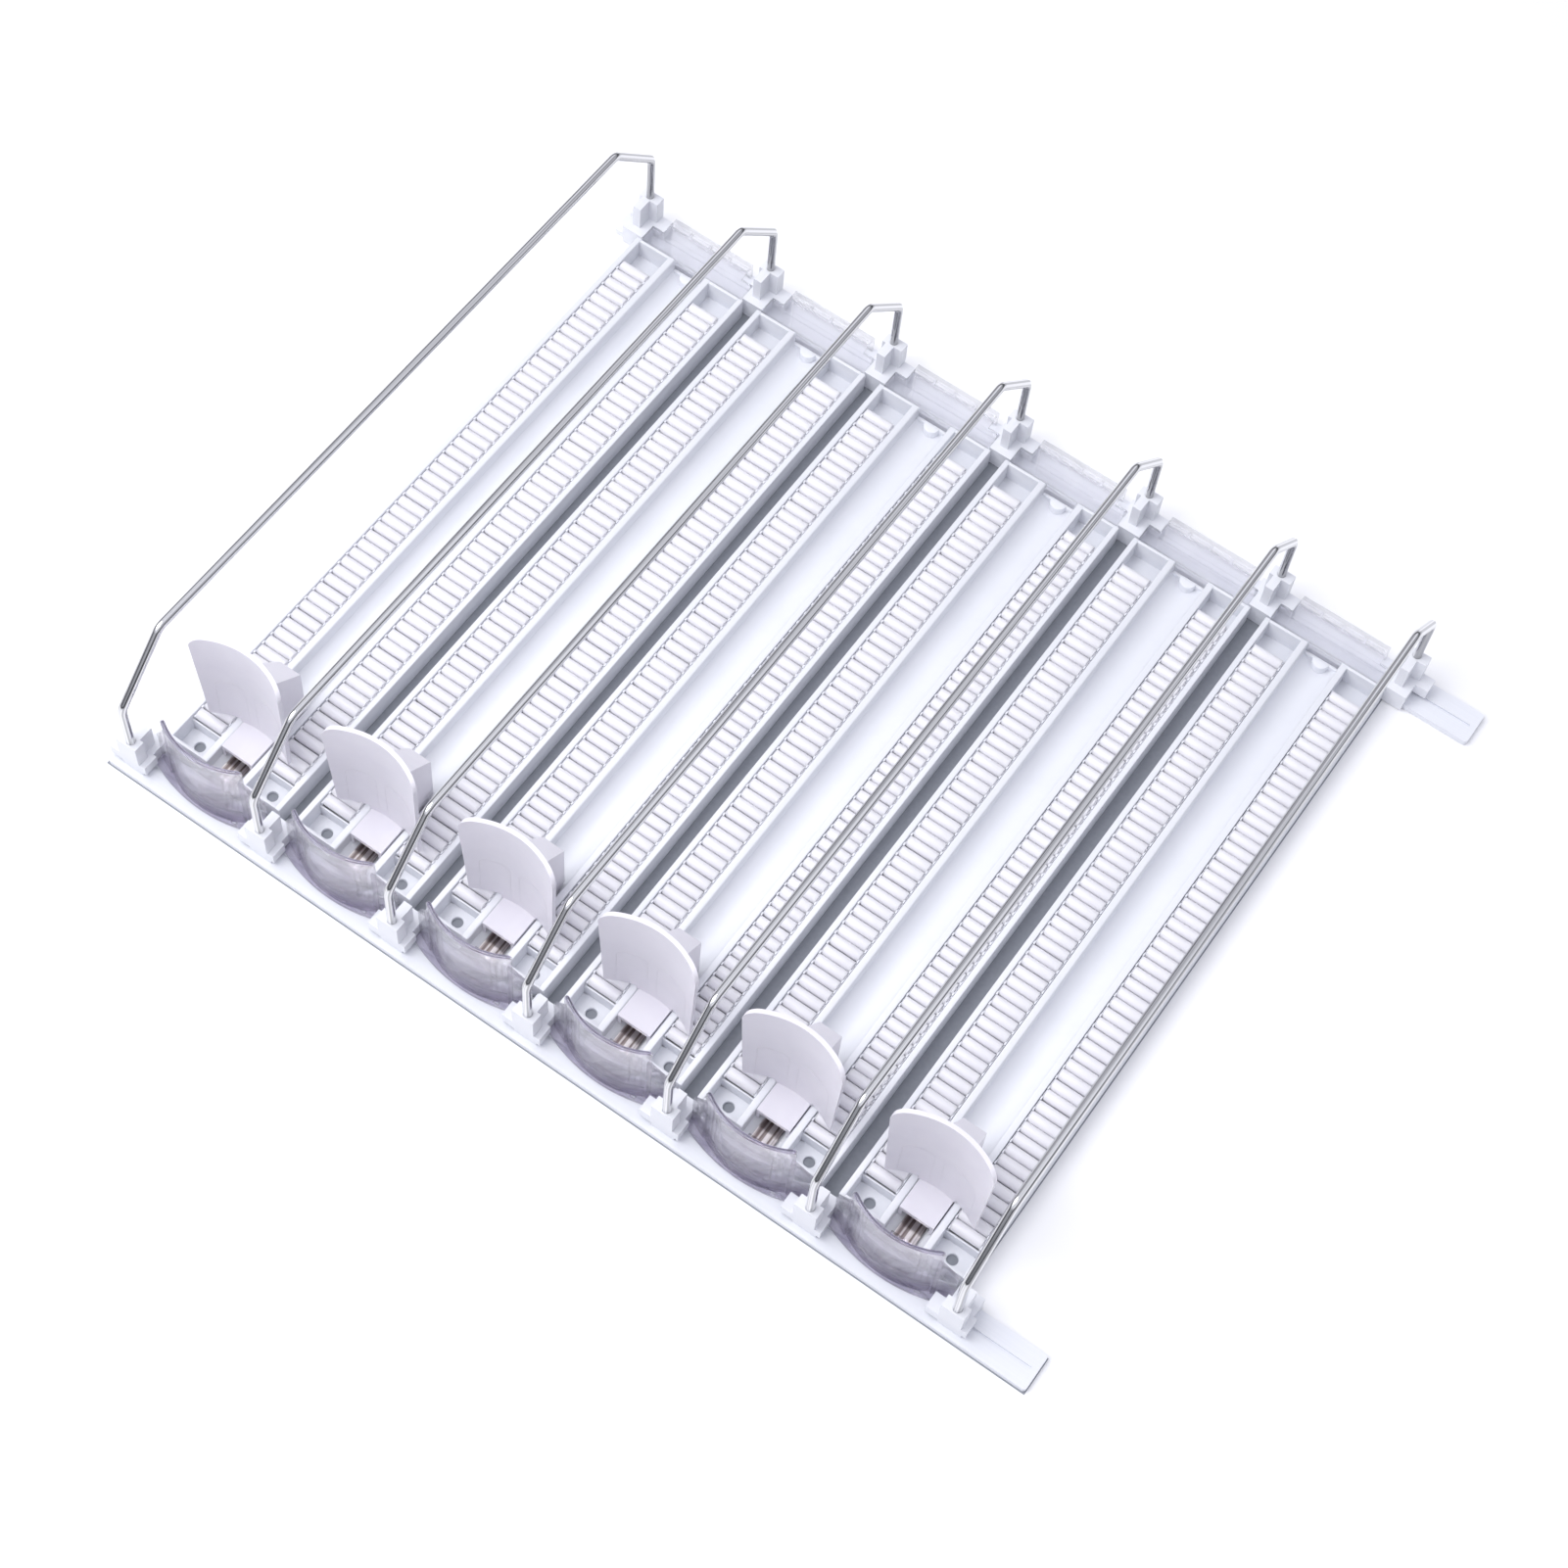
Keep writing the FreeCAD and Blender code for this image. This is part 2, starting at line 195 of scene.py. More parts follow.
def loft(shape, rings, capped=True, looped=False):
    """Skin a row of closed rings that have equal counts of points."""
    points, faces = shape
    count = len(rings[0])
    first = len(points)
    for ring in rings:
        points.extend(ring)
    pairs = [(row, row + 1) for row in range(len(rings) - 1)]
    if looped:
        pairs.append((len(rings) - 1, 0))
    for low, high in pairs:
        for step in range(count):
            after = (step + 1) % count
            faces.append((first + low * count + step, first + low * count + after,
                          first + high * count + after, first + high * count + step))
    if capped:
        faces.append(tuple(range(first, first + count)))
        faces.append(tuple(range(first + (len(rings) - 1) * count, first + len(rings) * count)))


def bar(shape, outline, axis, start, end, edge=0.25):
    """An outline drawn out along an axis, with its two rims rounded over."""
    place = {
        "x": lambda u, v, w: (w, u, v),
        "y": lambda u, v, w: (u, w, v),
        "z": lambda u, v, w: (u, v, w),
    }[axis]
    rims = [(start, edge), (start + 0.3 * edge, 0.3 * edge), (start + edge, 0),
            (end - edge, 0), (end - 0.3 * edge, 0.3 * edge), (end, edge)]
    loft(shape, [[place(u, v, w) for u, v in shrunk(outline, by)] for w, by in rims])


def block(shape, x0, x1, y0, y1, z0, z1, edge=0.25):
    bar(shape, box_outline(x0, x1, y0, y1, edge), "z", z0, z1, edge)


def mirrored(shape):
    """The shape and its mirror image about X = 0."""
    points, faces = shape
    count = len(points)
    return (points + [(-x, y, z) for x, y, z in points],
            faces + [tuple(index + count for index in face) for face in faces])


def joined(*shapes):
    points, faces = [], []
    for more_points, more_faces in shapes:
        first = len(points)
        points += more_points
        faces += [tuple(index + first for index in face) for face in more_faces]
    return points, faces


def mesh_of(name, shape, crease=35):
    """A mesh in metres with outward faces, smooth but for edges sharper than the crease."""
    points, faces = shape
    mesh = bpy.data.meshes.new(name)
    mesh.from_pydata([[c * MM for c in p] for p in points], [], faces)
    work = bmesh.new()
    work.from_mesh(mesh)
    bmesh.ops.recalc_face_normals(work, faces=work.faces)
    work.to_mesh(mesh)
    work.free()
    mesh.shade_smooth()
    mesh.set_sharp_from_angle(angle=math.radians(crease))
    return mesh


def piece(name, mesh, material, x, body, stands_for=()):
    """Put a mesh in its place, on its body."""
    made = bpy.data.objects.new(name, mesh)
    scene.collection.objects.link(made)
    made.location = (x * MM, -DEPTH / 2 * MM, 0)
    if not mesh.materials:
        mesh.materials.append(material)
    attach(made, body)
    if stands_for:
        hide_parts(*stands_for)
    return made


# Materials


def srgb(code):
    """The linear colour of an sRGB hex value."""
    channels = [int(code[at:at + 2], 16) / 255 for at in (1, 3, 5)]
    return [c / 12.92 if c <= 0.04045 else ((c + 0.055) / 1.055) ** 2.4 for c in channels] + [1.0]


def add(tree, kind, settings=None, links=None):
    """Add a node with its settings and with links from other nodes' sockets."""
    made = tree.nodes.new("ShaderNode" + kind)
    for name, value in (settings or {}).items():
        if name in made.inputs:
            made.inputs[name].default_value = value
        else:
            setattr(made, name, value)
    for name, socket in (links or {}).items():
        tree.links.new(socket, made.inputs[name])
    return made


def new_material(name):
    material = bpy.data.materials.new(name)
    material.use_nodes = True
    material.node_tree.nodes.clear()
    return material, material.node_tree


def moulded_polystyrene():
    """High-impact polystyrene, injection moulded: soft white, half glossy, with slight flow clouds."""
    material, tree = new_material("moulded_polystyrene")
    place = add(tree, "TexCoord").outputs["Object"]
    clouds = add(tree, "TexNoise", {"Scale": 1 / 0.030, "Detail": 2.0}, {"Vector": place})
    colour = add(tree, "MixRGB", {"Color1": srgb("#EBECF1"), "Color2": srgb("#E5E7ED")},
                 {"Fac": clouds.outputs["Fac"]})
    # The eroded grain of the mould is about 0.1 mm, drawn at 0.6 mm so that it shows.
    grain = add(tree, "TexNoise", {"Scale": 1 / 0.0006, "Detail": 3.0}, {"Vector": place})
    gloss = add(tree, "MapRange", {"To Min": 0.30, "To Max": 0.42}, {"Value": grain.outputs["Fac"]})
    bump = add(tree, "Bump", {"Strength": 0.25, "Distance": 0.00002}, {"Height": grain.outputs["Fac"]})
    shader = add(tree, "BsdfPrincipled", {"IOR": 1.59},
                 {"Base Color": colour.outputs[0], "Roughness": gloss.outputs[0], "Normal": bump.outputs[0]})
    add(tree, "OutputMaterial", links={"Surface": shader.outputs[0]})
    return material


def moulded_acetal():
    """Acetal rollers, moulded and tumbled: waxy white that light sinks into, with fine rings round them."""
    material, tree = new_material("moulded_acetal")
    place = add(tree, "TexCoord").outputs["Object"]
    # One cloud is about as wide as three rollers, so neighbours differ a little in shade.
    batch = add(tree, "TexNoise", {"Scale": 1 / 0.016, "Detail": 1.0}, {"Vector": place})
    colour = add(tree, "MixRGB", {"Color1": srgb("#EEEDF2"), "Color2": srgb("#E6E5EB")},
                 {"Fac": batch.outputs["Fac"]})
    across = add(tree, "Mapping", {"Scale": (1.0, 0.02, 0.02)}, {"Vector": place})
    # Rings from tumbling are under 0.1 mm apart, drawn at 0.5 mm so that they show.
    rings = add(tree, "TexNoise", {"Scale": 1 / 0.0005, "Detail": 2.0}, {"Vector": across.outputs[0]})
    gloss = add(tree, "MapRange", {"To Min": 0.28, "To Max": 0.40}, {"Value": rings.outputs["Fac"]})
    bump = add(tree, "Bump", {"Strength": 0.2, "Distance": 0.00002}, {"Height": rings.outputs["Fac"]})
    shader = add(tree, "BsdfPrincipled",
                 {"IOR": 1.48, "Subsurface Weight": 0.7, "Subsurface Scale": 0.004,
                  "Subsurface Radius": (1.0, 1.0, 1.0)},
                 {"Base Color": colour.outputs[0], "Roughness": gloss.outputs[0], "Normal": bump.outputs[0]})
    add(tree, "OutputMaterial", links={"Surface": shader.outputs[0]})
    return material


def moulded_polypropylene():
    """Polypropylene, injection moulded: milky white that lets a little light in, smooth, with weld lines."""
    material, tree = new_material("moulded_polypropylene")
    place = add(tree, "TexCoord").outputs["Object"]
    flow = add(tree, "TexNoise", {"Scale": 1 / 0.018, "Detail": 2.0, "Distortion": 1.2}, {"Vector": place})
    colour = add(tree, "MixRGB", {"Color1": srgb("#ECEAF0"), "Color2": srgb("#E4E1EA")},
                 {"Fac": flow.outputs["Fac"]})
    # Flow marks a few millimetres apart give the slow waver in the shine.
    marks = add(tree, "TexNoise", {"Scale": 1 / 0.005, "Detail": 1.0, "Distortion": 0.8}, {"Vector": place})
    gloss = add(tree, "MapRange", {"To Min": 0.26, "To Max": 0.40}, {"Value": marks.outputs["Fac"]})
    bump = add(tree, "Bump", {"Strength": 0.3, "Distance": 0.00006}, {"Height": marks.outputs["Fac"]})
    shader = add(tree, "BsdfPrincipled",
                 {"IOR": 1.49, "Subsurface Weight": 0.1, "Subsurface Scale": 0.002,
                  "Subsurface Radius": (1.0, 0.9, 0.9)},
                 {"Base Color": colour.outputs[0], "Roughness": gloss.outputs[0], "Normal": bump.outputs[0]})
    add(tree, "OutputMaterial", links={"Surface": shader.outputs[0]})
    return material


def extruded_pvc():
    """Rigid PVC strip, extruded: plain white with faint lines along the way that it was drawn."""
    material, tree = new_material("extruded_pvc")
    place = add(tree, "TexCoord").outputs["Object"]
    along = add(tree, "Mapping", {"Scale": (0.01, 1.0, 1.0)}, {"Vector": place})
    # Die lines are about 0.2 mm apart, drawn at 0.8 mm so that they show.
    lines = add(tree, "TexNoise", {"Scale": 1 / 0.0008, "Detail": 2.0}, {"Vector": along.outputs[0]})
    colour = add(tree, "MixRGB", {"Color1": srgb("#EBEDF3"), "Color2": srgb("#E4E6ED")},
                 {"Fac": lines.outputs["Fac"]})
    gloss = add(tree, "MapRange", {"To Min": 0.28, "To Max": 0.42}, {"Value": lines.outputs["Fac"]})
    bump = add(tree, "Bump", {"Strength": 0.2, "Distance": 0.00002}, {"Height": lines.outputs["Fac"]})
    shader = add(tree, "BsdfPrincipled", {"IOR": 1.53},
                 {"Base Color": colour.outputs[0], "Roughness": gloss.outputs[0], "Normal": bump.outputs[0]})
    add(tree, "OutputMaterial", links={"Surface": shader.outputs[0]})
    return material


def clear_polycarbonate(name, foot, rim, pale, deep, cover):
    """Polycarbonate, moulded and polished: clear and faintly lilac, deeper in tint below the foot height and
    above the rim height, where its edge is seen lengthwise."""
    material, tree = new_material(name)
    place = add(tree, "TexCoord").outputs["Object"]
    # Sink marks are broad, 11 mm or so, and bend what shows through a little.
    waves = add(tree, "TexNoise", {"Scale": 1 / 0.011, "Detail": 0.0}, {"Vector": place})
    pools = add(tree, "MapRange", {"From Min": 0.35, "From Max": 0.65}, {"Value": waves.outputs["Fac"]})
    gloss = add(tree, "MapRange", {"To Min": 0.02, "To Max": 0.06}, {"Value": waves.outputs["Fac"]})
    face = add(tree, "MixRGB", {"Color1": srgb(pale), "Color2": srgb(deep)}, {"Fac": pools.outputs[0]})
    height = add(tree, "SeparateXYZ", links={"Vector": place}).outputs["Z"]
    edge = add(tree, "MapRange", {"From Min": rim - 0.0004, "From Max": rim, "To Min": 0.0, "To Max": 1.0},
               {"Value": height}).outputs[0]
    base = add(tree, "MapRange", {"From Min": foot, "From Max": foot + 0.0004, "To Min": 0.4, "To Max": 0.0},
               {"Value": height}).outputs[0]
    plate = add(tree, "MixRGB", {"Color2": srgb("#B9B0C8")}, {"Color1": face.outputs[0], "Fac": base})
    tint = add(tree, "MixRGB", {"Color2": srgb("#A9A0BC")}, {"Color1": plate.outputs[0], "Fac": edge})
    # Part of the light goes straight through, as in a thin moulding, so what stands behind it shows.
    haze = add(tree, "MapRange", {"To Min": cover, "To Max": 0.95},
               {"Value": add(tree, "Math", {"operation": "MAXIMUM"}, {0: edge, 1: base}).outputs[0]})
    bump = add(tree, "Bump", {"Strength": 0.25, "Distance": 0.0002}, {"Height": waves.outputs["Fac"]})
    shader = add(tree, "BsdfPrincipled", {"IOR": 1.585, "Transmission Weight": 1.0},
                 {"Base Color": tint.outputs[0], "Roughness": gloss.outputs[0], "Normal": bump.outputs[0],
                  "Alpha": haze.outputs[0]})
    add(tree, "OutputMaterial", links={"Surface": shader.outputs[0]})
    return material


def plated_wire():
    """Steel wire, drawn, bent and nickel plated: a bright line along it between darker sides, given partly by
    the room's light and partly by painted reflection streaks of light and dark grey.
    """
    material, tree = new_material("plated_wire")
    along = add(tree, "UVMap").outputs["UV"]
    stretch = add(tree, "Mapping", {"Scale": (1.0, 0.004, 1.0)}, {"Vector": along})
    # Die lines run the length of the wire, about 0.2 mm wide, drawn at 1.1 mm so that they show; their light
    # and dark grey is painted reflection.
    marks = add(tree, "TexNoise", {"Scale": 1 / 0.0011, "Detail": 1.0}, {"Vector": stretch.outputs[0]})
    lines = add(tree, "MapRange", {"From Min": 0.40, "From Max": 0.60}, {"Value": marks.outputs["Fac"]})
    # Painted reflection: light and dark grey streaks along the wire.
    colour = add(tree, "MixRGB", {"Color1": srgb("#E9E9EA"), "Color2": srgb("#ACACAE")},
                 {"Fac": lines.outputs[0]})
    gloss = add(tree, "MapRange", {"To Min": 0.08, "To Max": 0.16}, {"Value": marks.outputs["Fac"]})
    bump = add(tree, "Bump", {"Strength": 0.1, "Distance": 0.00001}, {"Height": marks.outputs["Fac"]})
    shader = add(tree, "BsdfPrincipled", {"Metallic": 1.0},
                 {"Base Color": colour.outputs[0], "Roughness": gloss.outputs[0], "Normal": bump.outputs[0]})
    add(tree, "OutputMaterial", links={"Surface": shader.outputs[0]})
    return material


def rolled_spring_steel():
    """Spring steel strip, cold rolled and tempered: mirror-like, with painted reflection in pale streaks along
    it between brown lines.
    """
    material, tree = new_material("rolled_spring_steel")
    along = add(tree, "UVMap").outputs["UV"]
    stretch = add(tree, "Mapping", {"Scale": (1.0, 0.01, 1.0)}, {"Vector": along})
    # Rolling lines are about 0.2 mm apart, drawn at 1.4 mm so that they show; their pale streaks are painted
    # reflection.
    lines = add(tree, "TexNoise", {"Scale": 1 / 0.0014, "Detail": 2.0}, {"Vector": stretch.outputs[0]})
    painted_sheen_mask = add(tree, "MapRange", {"From Min": 0.42, "From Max": 0.58}, {"Value": lines.outputs["Fac"]})
    # Painted reflection: pale streaks between brown lines.
    colour = add(tree, "MixRGB", {"Color1": srgb("#F2EDEA"), "Color2": srgb("#8A7D79")},
                 {"Fac": painted_sheen_mask.outputs[0]})
    gloss = add(tree, "MapRange", {"To Min": 0.12, "To Max": 0.28}, {"Value": lines.outputs["Fac"]})
    bump = add(tree, "Bump", {"Strength": 0.2, "Distance": 0.00001}, {"Height": lines.outputs["Fac"]})
    shader = add(tree, "BsdfPrincipled", {"Metallic": 1.0},
                 {"Base Color": colour.outputs[0], "Roughness": gloss.outputs[0], "Normal": bump.outputs[0]})
    add(tree, "OutputMaterial", links={"Surface": shader.outputs[0]})
    return material


def painted_board():
    """The floor: board painted matt white."""
    material, tree = new_material("painted_board")
    place = add(tree, "TexCoord").outputs["Object"]
    clouds = add(tree, "TexNoise", {"Scale": 4.0, "Detail": 2.0}, {"Vector": place})
    colour = add(tree, "MixRGB", {"Color1": srgb("#FBFBFC"), "Color2": srgb("#F8F8FA")},
                 {"Fac": clouds.outputs["Fac"]})
    shader = add(tree, "BsdfPrincipled", {"Roughness": 0.7}, {"Base Color": colour.outputs[0]})
    add(tree, "OutputMaterial", links={"Surface": shader.outputs[0]})
    return material


def painted_shade_grey():
    """Painted shade: a matt grey sheet that stands for the shade in the gaps under the trays."""
    material, tree = new_material("painted_shade_grey")
    place = add(tree, "TexCoord").outputs["Object"]
    speckle = add(tree, "TexNoise", {"Scale": 1 / 0.002, "Detail": 3.0}, {"Vector": place})
    # Painted shade: dark greys for the shade that falls between the trays and along the front rail's edge.
    colour = add(tree, "MixRGB", {"Color1": srgb("#9A9DA5"), "Color2": srgb("#8C9097")},
                 {"Fac": speckle.outputs["Fac"]})
    shader = add(tree, "BsdfPrincipled", {"Roughness": 0.8}, {"Base Color": colour.outputs[0]})
    add(tree, "OutputMaterial", links={"Surface": shader.outputs[0]})
    return material


tray_white = moulded_polystyrene()
roller_white = moulded_acetal()
pusher_white = moulded_polypropylene()
rail_white = extruded_pvc()
clear_stop = clear_polycarbonate("clear_polycarbonate_stop", PLATE_TOP * MM, (STOP_TOP - 0.7) * MM,
                                 "#F0EDF6", "#C8C3D4", 0.45)
# The covers are all of one tint, as they lie between the two heights.
clear_cover = clear_polycarbonate("clear_polycarbonate_cover", -0.001, (TRAY_TOP + 1) * MM,
                                  "#F6F5FA", "#F0EFF6", 0.4)
wire_steel = plated_wire()
strip_steel = rolled_spring_steel()


# Trays


def channel_profile():
    """The middle of a tray: the hollow channel and the two walls beside it."""
    radius = (CHANNEL_HALF ** 2 + CHANNEL_RISE ** 2) / (2 * CHANNEL_RISE)
    half = math.degrees(math.asin(CHANNEL_HALF / radius))
    hollow = arc((0, CHANNEL_LOW + radius), radius, 270 + half, 270 - half, 20)
    right = rounded_outline([(0, 0, 0), (STRIP_INNER, 0, 0.2), (STRIP_INNER, TRAY_TOP, 0.4),
                             (CHANNEL_HALF, TRAY_TOP, 0.8), (CHANNEL_HALF, CHANNEL_LOW + CHANNEL_RISE, 0)])[1:]
    left = [(-u, v) for u, v in reversed(right)]
    return right + hollow[1:-1] + left


def holed_plate(shape, x0, x1, y0, y1, z0, z1, centre, radius):
    """A plate with a round hole through it."""
    steps = 32
    inner = arc(centre, radius, 0, 360, steps)[:-1]
    outer = []
    for u, v in inner:
        du, dv = u - centre[0], v - centre[1]
        reach = min(((x1 if du > 0 else x0) - centre[0]) / du if abs(du) > 1e-9 else 1e9,
                    ((y1 if dv > 0 else y0) - centre[1]) / dv if abs(dv) > 1e-9 else 1e9)
        outer.append((centre[0] + du * reach, centre[1] + dv * reach))
    rim = arc(centre, radius + 0.25, 0, 360, steps)[:-1]
    rings = [[(u, v, z0) for u, v in outer], [(u, v, z1) for u, v in outer],
             [(u, v, z1) for u, v in rim], [(u, v, z1 - 0.25) for u, v in inner],
             [(u, v, z0) for u, v in inner]]
    loft(shape, rings, capped=False, looped=True)


def tray_body():
    middle = ([], [])
    bar(middle, channel_profile(), "y", TRAY_START, TRAY_END, 0.2)
    dam_half = CHANNEL_HALF + 0.1
    block(middle, -dam_half, dam_half, TRAY_END - END_WALL, TRAY_END - 0.02, 0.05, DAM_TOP, 0.2)
    tab = arc((0, TRAY_END - END_WALL), TAB_RADIUS, 180, 360, 20)
    bar(middle, tab, "z", 0.1, TAB_TOP, 0.25)

    side = ([], [])
    wall = rounded_outline([(STRIP_OUTER, 0, 0.1), (TRAY_HALF, 0, 0.2), (TRAY_HALF, TRAY_TOP, 0.5),
                            (STRIP_OUTER, TRAY_TOP, 0.5)])
    bar(side, wall, "y", TRAY_START, TRAY_END, 0.2)
    inner = STRIP_INNER - 0.1
    outer = STRIP_OUTER + 0.1
    pocket_end = TRAY_START + POCKET
    centre = ((STRIP_INNER + STRIP_OUTER) / 2, TRAY_START + POCKET_HOLE_INSET)
    holed_plate(side, inner, outer, TRAY_START + 1, pocket_end, 0.03, FLOOR_TOP, centre, POCKET_HOLE)
    block(side, inner, outer, pocket_end, TRAY_END - 1, 0.03, FLOOR_TOP, 0.02)
    for y0, y1 in ((TRAY_START + 0.02, TRAY_START + END_WALL), (TRAY_END - END_WALL, TRAY_END - 0.02)):
        block(side, inner, outer, y0, y1, 0.04, TRAY_TOP - 0.03)

    first = FIRST_ROLLER - ROLLER_PITCH / 2
    last = first + ROLLER_COUNT * ROLLER_PITCH
    for x0, x1 in ((STRIP_INNER + 0.3, STRIP_INNER + LEDGE), (STRIP_OUTER - LEDGE, STRIP_OUTER - 0.2)):
        block(side, x0, x1, first, last, 7.8, TOOTH_LOW, 0.1)
        for number in range(1, ROLLER_COUNT):
            y = first + number * ROLLER_PITCH
            block(side, x0 - 0.02, x1 + 0.02, y - 0.8, y + 0.8, TOOTH_LOW - 0.4, TOOTH_TOP, 0.18)
    for y0, y1 in ((first - 0.8, first), (last, last + 0.8)):
        block(side, inner, outer, y0, y1, FLOOR_TOP - 0.1, 8.6, 0.2)
    return joined(middle, mirrored(side))


def rollers(seed):
    """The loose rollers of a lane. Each has some play, so the gaps between them differ."""
    chance = random.Random(seed)
    shape = ([], [])
    body0 = STRIP_INNER + LEDGE + 0.08
    body1 = STRIP_OUTER - LEDGE - 0.08
    for side in (-1, 1):
        for number in range(ROLLER_COUNT):
            y = FIRST_ROLLER + number * ROLLER_PITCH + chance.uniform(-0.13, 0.13)
            z = ROLLER_AXIS + chance.uniform(-0.06, 0.0)
            shift = chance.uniform(-0.06, 0.06)
            profile = [(STRIP_INNER + 0.25, 0.9), (STRIP_INNER + 0.4, PIN_RADIUS), (body0, PIN_RADIUS),
                       (body0, 2.45), (body0 + 0.08, 2.62), (body0 + 0.25, ROLLER_RADIUS),
                       (body1 - 0.25, ROLLER_RADIUS), (body1 - 0.08, 2.62), (body1, 2.45),
                       (body1, PIN_RADIUS), (STRIP_OUTER - 0.4, PIN_RADIUS), (STRIP_OUTER - 0.25, 0.9)]
            rings = []
            for x, radius in profile:
                circle = arc((y, z), radius, 0, 360, 22)[:-1]
                rings.append([(side * (x + shift), u, v) for u, v in circle])
            loft(shape, rings)
    return shape


tray_mesh = mesh_of("tray_body", tray_body())
for number in range(1, LANES + 1):
    body = f"lane_{number}"
    piece(f"tray_body_{number}", tray_mesh, tray_white, lane_x(number), body,
          [f"tray_{number}"])
    roller_mesh = mesh_of(f"rollers_{number}", rollers(number))
    piece(f"rollers_{number}", roller_mesh, roller_white, lane_x(number), body)


# Wires


def tube(path, radius, steps):
    """A round bar along a flat path in the plane X = 0, with how far along it runs kept for its material."""
    points, faces, along = [], [], []
    far = 0.0
    for number, (y, z) in enumerate(path):
        before = Vector(path[max(0, number - 1)])
        after = Vector(path[min(len(path) - 1, number + 1)])
        way = (after - before).normalized()
        if number:
            far += (Vector(path[number]) - Vector(path[number - 1])).length
        for step in range(steps):
            turn = 2 * math.pi * step / steps
            u = radius * math.cos(turn)
            v = radius * math.sin(turn)
            points.append((u, y - way.y * v, z + way.x * v))
            along.append((turn * radius * MM, far * MM))
    for row in range(len(path) - 1):
        for step in range(steps):
            after = (step + 1) % steps
            low = row * steps
            faces.append((low + step, low + after, low + steps + after, low + steps + step))
    faces.append(tuple(range(steps)))
    faces.append(tuple(range((len(path) - 1) * steps, len(path) * steps)))
    return (points, faces), along


def wire_path():
    slant = WIRE_TOP - WIRE_SHOULDER
    front = WIRE_INSET
    rear = DEPTH - WIRE_INSET
    corners = [(front, WIRE_LOW), (front, WIRE_SHOULDER), (front + slant, WIRE_TOP),
               (rear - slant, WIRE_TOP), (rear, WIRE_SHOULDER), (rear, WIRE_LOW)]
    path = [corners[0]]
    for before, here, after in zip(corners, corners[1:], corners[2:]):
        here = Vector(here)
        back = (Vector(before) - here).normalized()
        ahead = (Vector(after) - here).normalized()
        half = back.angle(ahead) / 2
        reach = WIRE_BEND / math.tan(half)
        for step in range(13):
            share = step / 12
            start = here + back * reach
            end = here + ahead * reach
            centre = here + (back + ahead).normalized() * (WIRE_BEND / math.sin(half))
            spoke = (start - centre).lerp(end - centre, share).normalized() * WIRE_BEND
            path.append(tuple(centre + spoke))
    path.append(corners[-1])
    return path


def with_length_map(mesh, along):
    layer = mesh.uv_layers.new(name="along")
    for loop in mesh.loops:
        layer.data[loop.index].uv = along[loop.vertex_index]
    return mesh


wire_shape, wire_along = tube(wire_path(), WIRE_RADIUS, 24)
wire_mesh = with_length_map(mesh_of("wire", wire_shape, 60), wire_along)
for number in range(1, LANES + 2):
    body = "frame" if number == 1 else f"divider_{number}"
    piece(f"bent_wire_{number}", wire_mesh, wire_steel, wire_x(number), body, [f"wire_{number}"])


# Clear front stops


def stop_place(turn, depth, z):
    """A point of the bowed wall, by its turn about the wall's centre and its depth behind the front face."""
    radius = STOP_RADIUS - depth
    return radius * math.sin(turn), STOP_FRONT + STOP_RADIUS - radius * math.cos(turn), z


def wall_ring(turn, thick, top, round_off):
    """One upright slice of the bowed wall, rounded over at the top."""
    half = thick / 2 - round_off
    points = [(thick / 2 - half, PLATE_LOW), (thick / 2 + half, PLATE_LOW)]
    points += [(thick / 2 + half, PLATE_LOW + (top - half - PLATE_LOW) * step / 6) for step in range(1, 6)]
    points += [(thick / 2 + u, v) for u, v in arc((0, top - half), half, 0, 180, 8)]
    points += [(thick / 2 - half, PLATE_LOW + (top - half - PLATE_LOW) * step / 6) for step in range(5, 0, -1)]
    return [stop_place(turn, depth, z) for depth, z in points]


def bowed_wall(shape, half, thick, top, corner):
    """The curved wall that the first can leans on."""
    reach = math.asin(half / STOP_RADIUS) * STOP_RADIUS
    ends = [0.0, 0.15, 0.4, 0.8, 1.3, 2.0, 2.7, 3.4]
    along = [-reach + d for d in ends] + [(-1 + step / 12) * (reach - 4.5) for step in range(25)]
    along += [reach - d for d in reversed(ends)]
    rings = []
    for s in along:
        d = reach - abs(s)
        drop = corner - math.sqrt(max(0.0, corner ** 2 - max(0.0, corner - d - 0.3) ** 2))
        round_off = 0.45 * (1 - min(1.0, d / 0.4)) ** 2
        rings.append(wall_ring(s / STOP_RADIUS, thick, top - drop, round_off))
    loft(shape, rings)


def holed_floor(shape, xs, rows, holes, low, high):
    """A flat plate over a grid. Each x has its own row of ys, and some cells are left out as holes."""
    points, faces = shape
    first = len(points)
    deep = len(rows[0])
    for z in (low, high):
        for x, row in zip(xs, rows):
            points.extend((x, y, z) for y in row)
    top = len(xs) * deep
    cells = {(i, j) for i in range(len(xs) - 1) for j in range(deep - 1)} - holes

    def corner(i, j):
        return first + i * deep + j

    for i, j in cells:
        ring = [corner(i, j), corner(i + 1, j), corner(i + 1, j + 1), corner(i, j + 1)]
        faces.append(tuple(reversed(ring)))
        faces.append(tuple(index + top for index in ring))
        sides = {(i, j - 1): (0, 1), (i + 1, j): (1, 2), (i, j + 1): (2, 3), (i - 1, j): (3, 0)}
        for beside, (a, b) in sides.items():
            if beside not in cells:
                faces.append((ring[a], ring[b], ring[b] + top, ring[a] + top))


